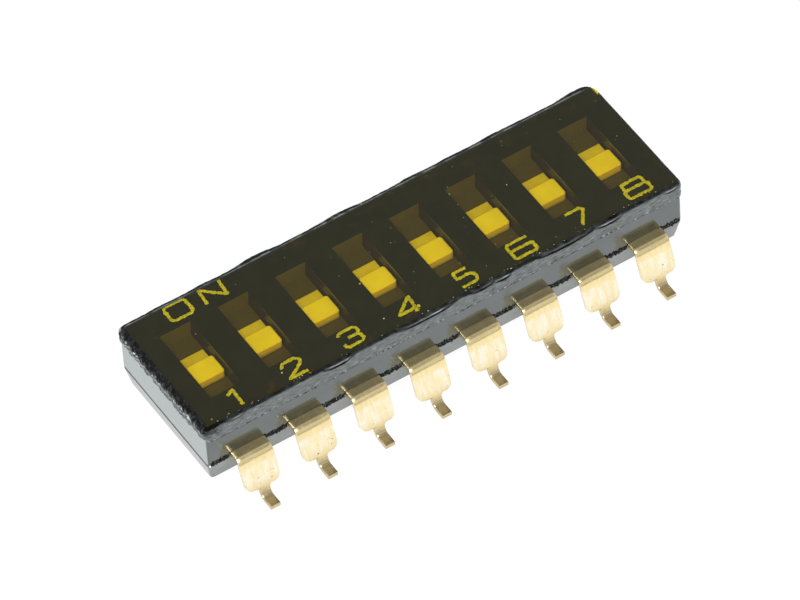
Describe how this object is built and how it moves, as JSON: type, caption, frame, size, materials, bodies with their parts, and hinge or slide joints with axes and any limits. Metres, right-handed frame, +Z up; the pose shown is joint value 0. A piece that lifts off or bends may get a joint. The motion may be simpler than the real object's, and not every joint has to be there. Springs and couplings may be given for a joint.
{
  "type": "dip switch",
  "caption": "Surface-mount slide switch block: a row of small recessed sliders under a clear seal film, with flat gull-wing solder legs along both long sides.",
  "frame": {"origin": "middle of the plane that the undersides of the solder feet stand on", "axes": "+X along the row from pole 1, -Y towards the numbered OFF side, +Y towards the ON side, +Z up through the top face"},
  "size_m": [0.0214, 0.0096, 0.0039],
  "materials": {
    "base_plastic": "fine satin",
    "cover_plastic": "semi-gloss",
    "seal_film": "clear amber sheet, glossy and crinkled",
    "slider_plastic": "smooth moulded",
    "contact_metal": "plated spring strip",
    "terminal_metal": "plated, satin"
  },
  "bodies": {
    "housing": {"base": "base_plastic", "cover": "cover_plastic", "seal_film": "seal_film", "front_terminal_1": "terminal_metal", "front_terminal_2": "terminal_metal", "front_terminal_3": "terminal_metal", "front_terminal_4": "terminal_metal", "front_terminal_5": "terminal_metal", "front_terminal_6": "terminal_metal", "front_terminal_7": "terminal_metal", "front_terminal_8": "terminal_metal", "back_terminal_1": "terminal_metal", "back_terminal_2": "terminal_metal", "back_terminal_3": "terminal_metal", "back_terminal_4": "terminal_metal", "back_terminal_5": "terminal_metal", "back_terminal_6": "terminal_metal", "back_terminal_7": "terminal_metal", "back_terminal_8": "terminal_metal"},
    "slide_1": {"slider_1": "slider_plastic", "contact_1": "contact_metal"},
    "slide_2": {"slider_2": "slider_plastic", "contact_2": "contact_metal"},
    "slide_3": {"slider_3": "slider_plastic", "contact_3": "contact_metal"},
    "slide_4": {"slider_4": "slider_plastic", "contact_4": "contact_metal"},
    "slide_5": {"slider_5": "slider_plastic", "contact_5": "contact_metal"},
    "slide_6": {"slider_6": "slider_plastic", "contact_6": "contact_metal"},
    "slide_7": {"slider_7": "slider_plastic", "contact_7": "contact_metal"},
    "slide_8": {"slider_8": "slider_plastic", "contact_8": "contact_metal"}
  },
  "joints": [
    {"name": "switch_1", "type": "slide", "parent": "housing", "child": "slide_1", "axis": [0, 1, 0], "range_m": [0, 0.0009]},
    {"name": "switch_2", "type": "slide", "parent": "housing", "child": "slide_2", "axis": [0, 1, 0], "range_m": [0, 0.0009]},
    {"name": "switch_3", "type": "slide", "parent": "housing", "child": "slide_3", "axis": [0, 1, 0], "range_m": [0, 0.0009]},
    {"name": "switch_4", "type": "slide", "parent": "housing", "child": "slide_4", "axis": [0, 1, 0], "range_m": [0, 0.0009]},
    {"name": "switch_5", "type": "slide", "parent": "housing", "child": "slide_5", "axis": [0, 1, 0], "range_m": [0, 0.0009]},
    {"name": "switch_6", "type": "slide", "parent": "housing", "child": "slide_6", "axis": [0, 1, 0], "range_m": [0, 0.0009]},
    {"name": "switch_7", "type": "slide", "parent": "housing", "child": "slide_7", "axis": [0, 1, 0], "range_m": [0, 0.0009]},
    {"name": "switch_8", "type": "slide", "parent": "housing", "child": "slide_8", "axis": [0, 1, 0], "range_m": [0, 0.0009]}
  ]
}
